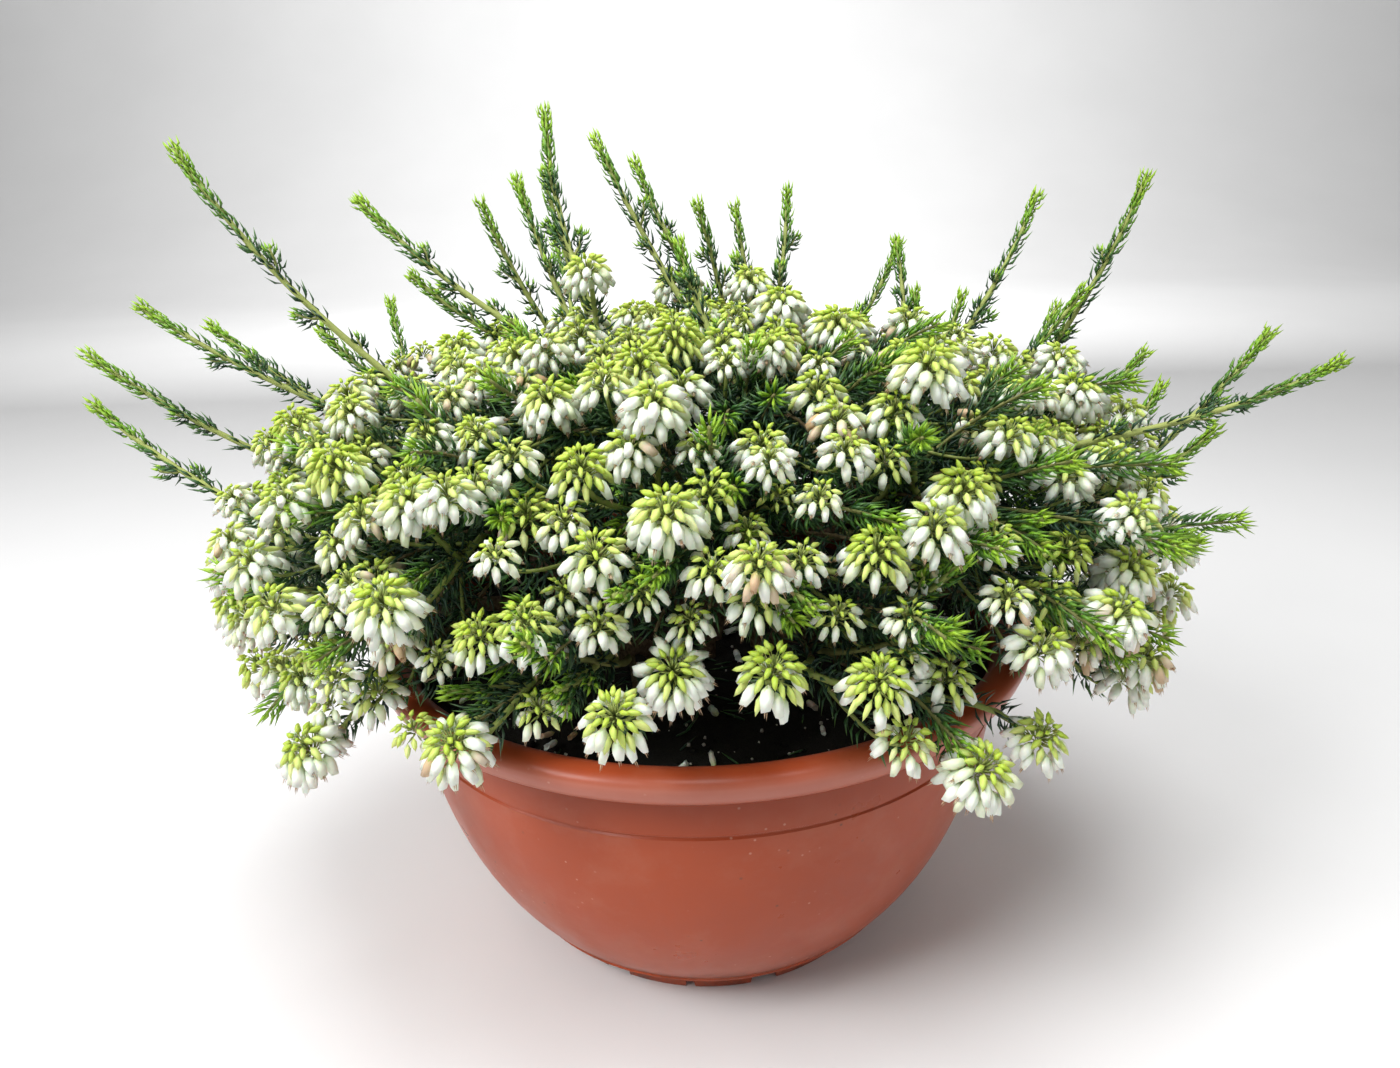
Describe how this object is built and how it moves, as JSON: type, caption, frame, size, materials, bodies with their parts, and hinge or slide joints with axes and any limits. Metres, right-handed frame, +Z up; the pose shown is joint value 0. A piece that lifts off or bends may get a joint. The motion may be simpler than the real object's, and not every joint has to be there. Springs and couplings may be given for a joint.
{
  "type": "potted white darley dale heath",
  "caption": "Low round plastic bowl filled with soil and planted with a white-flowering winter heath: a dense dome of nodding flower heads with long leafy shoots standing out of it.",
  "frame": {"origin": "middle of the bowl's base, on the surface it stands on", "axes": "+Z up, +X along the widest spread of the plant, -Y towards the front seen in the picture"},
  "size_m": [0.4306, 0.2705, 0.2851],
  "materials": {
    "bowl_plastic": "terracotta-coloured moulded plastic with a satin sheen, fine dust and soil marks",
    "peat_soil": "dark moist peat with coarse fibres and pale grains",
    "heath_leaves": "waxy needle leaves, dark blue-green when old and lime green at the tips, on brown-green woody stems",
    "heath_flowers": "waxy white bells with brown anthers and lime-green buds"
  },
  "bodies": {
    "root": {"bowl": "bowl_plastic", "flower_bunch_01": "heath_flowers", "flower_bunch_02": "heath_flowers", "flower_bunch_03": "heath_flowers", "flower_bunch_04": "heath_flowers", "flower_bunch_05": "heath_flowers", "flower_bunch_06": "heath_flowers", "flower_bunch_07": "heath_flowers", "flower_bunch_08": "heath_flowers", "flower_bunch_09": "heath_flowers", "flower_bunch_10": "heath_flowers", "flower_bunch_11": "heath_flowers", "flower_bunch_12": "heath_flowers", "flower_bunch_13": "heath_flowers", "flower_bunch_14": "heath_flowers", "flower_bunch_15": "heath_flowers", "flower_bunch_16": "heath_flowers", "flower_bunch_17": "heath_flowers", "flower_bunch_18": "heath_flowers", "flower_bunch_19": "heath_flowers", "flower_bunch_20": "heath_flowers", "flower_bunch_21": "heath_flowers", "flower_bunch_22": "heath_flowers", "flower_bunch_23": "heath_flowers", "flower_bunch_24": "heath_flowers", "flower_bunch_25": "heath_flowers", "flower_bunch_26": "heath_flowers", "flower_bunch_27": "heath_flowers", "flower_bunch_28": "heath_flowers", "flower_bunch_29": "heath_flowers", "flower_bunch_30": "heath_flowers", "flower_bunch_31": "heath_flowers", "flower_bunch_32": "heath_flowers", "flower_bunch_33": "heath_flowers", "flower_bunch_34": "heath_flowers", "flower_bunch_35": "heath_flowers", "flower_bunch_36": "heath_flowers", "flower_bunch_37": "heath_flowers", "flower_bunch_38": "heath_flowers", "leafy_stem_01": "heath_leaves", "leafy_stem_02": "heath_leaves", "leafy_stem_03": "heath_leaves", "leafy_stem_04": "heath_leaves", "leafy_stem_05": "heath_leaves", "leafy_stem_06": "heath_leaves", "leafy_stem_07": "heath_leaves", "leafy_stem_08": "heath_leaves", "leafy_stem_09": "heath_leaves", "leafy_stem_10": "heath_leaves", "leafy_stem_11": "heath_leaves", "leafy_stem_12": "heath_leaves", "leafy_stem_13": "heath_leaves", "leafy_stem_14": "heath_leaves", "leafy_stem_15": "heath_leaves", "leafy_stem_16": "heath_leaves", "leafy_stem_17": "heath_leaves", "leafy_stem_18": "heath_leaves", "leafy_stem_19": "heath_leaves", "soil": "peat_soil"}
  },
  "joints": []
}
